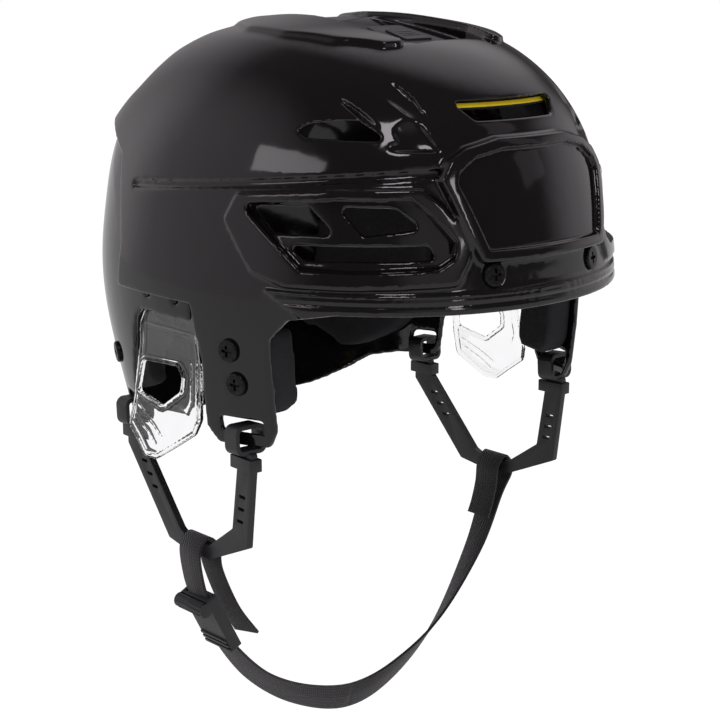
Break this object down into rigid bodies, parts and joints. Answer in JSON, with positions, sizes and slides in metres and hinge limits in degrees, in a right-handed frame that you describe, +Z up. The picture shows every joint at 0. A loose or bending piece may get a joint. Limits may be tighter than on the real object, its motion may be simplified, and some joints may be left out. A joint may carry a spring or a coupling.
{
  "type": "ice hockey helmet",
  "caption": "Two-shell ice hockey helmet with vented brow, size button, foam liner, clear ear guards, side slings and an adjustable chin strap.",
  "frame": {"origin": "middle of the head opening, level with the lower edge of the brim", "axes": "-Y to the front, +X to the wearer's left, +Z up"},
  "size_m": [0.2302, 0.272, 0.3528],
  "materials": {
    "shell": "gloss black injection moulded plastic",
    "trim": "satin black plastic",
    "sling": "satin black flexible plastic",
    "foam": "closed cell foam, matt black",
    "liner": "yellow impact foam",
    "clear": "clear moulded polycarbonate",
    "screw": "black coated steel",
    "spring": "bare spring wire",
    "webbing": "woven black webbing"
  },
  "bodies": {
    "front": {"front_shell": "shell", "adjuster_plate": "trim", "tongue_guide": "trim", "button_spring": "spring", "forehead_screws": "screw", "forehead_nuts": "screw", "temple_screws": "screw", "temple_nuts": "screw", "slot_liner": "liner", "forehead_pad": "foam", "crown_pad_left": "foam", "crown_pad_right": "foam", "temple_pad_left": "foam", "temple_pad_right": "foam", "side_pad_left": "foam", "side_pad_right": "foam"},
    "rear": {"rear_shell": "shell", "rear_screws": "screw", "rear_nuts": "screw", "rear_crown_pad": "foam", "occipital_pad": "foam", "rear_pad_left": "foam", "rear_pad_right": "foam", "ear_guard_left": "clear", "ear_guard_right": "clear", "guard_rivets": "screw", "chin_strap": "webbing"},
    "button": {"size_button": "trim"},
    "sling_left": {"sling_left": "sling", "keepers_left": "sling"},
    "sling_right": {"sling_right": "sling", "keepers_right": "sling"},
    "slider": {"strap_slider": "sling"}
  },
  "joints": [
    {"name": "button_press", "type": "slide", "parent": "front", "child": "button", "axis": [0, 0, -1], "range_m": [0, 0.0018], "stiffness_N_per_m": 400, "springref_m": -0.001, "deforming": ["button_spring"]},
    {"name": "size_slide", "type": "slide", "parent": "front", "child": "rear", "axis": [0, 1, 0], "range_m": [-0.0045, 0.0045]},
    {"name": "sling_left_swing", "type": "hinge", "parent": "rear", "child": "sling_left", "pos_m": [0.0975, 0.046, -0.0665], "axis": [-0.0536, 0.9964, -0.065], "range_deg": [-12, 12], "deforming": ["chin_strap"]},
    {"name": "sling_right_swing", "type": "hinge", "parent": "rear", "child": "sling_right", "pos_m": [-0.0975, 0.046, -0.0665], "axis": [0.0536, 0.9964, -0.065], "range_deg": [-12, 12], "deforming": ["chin_strap"]},
    {"name": "slider_slide", "type": "slide", "parent": "sling_right", "child": "slider", "axis": [0.458, 0, -0.889], "range_m": [-0.006, 0.006], "deforming": ["chin_strap"]}
  ]
}
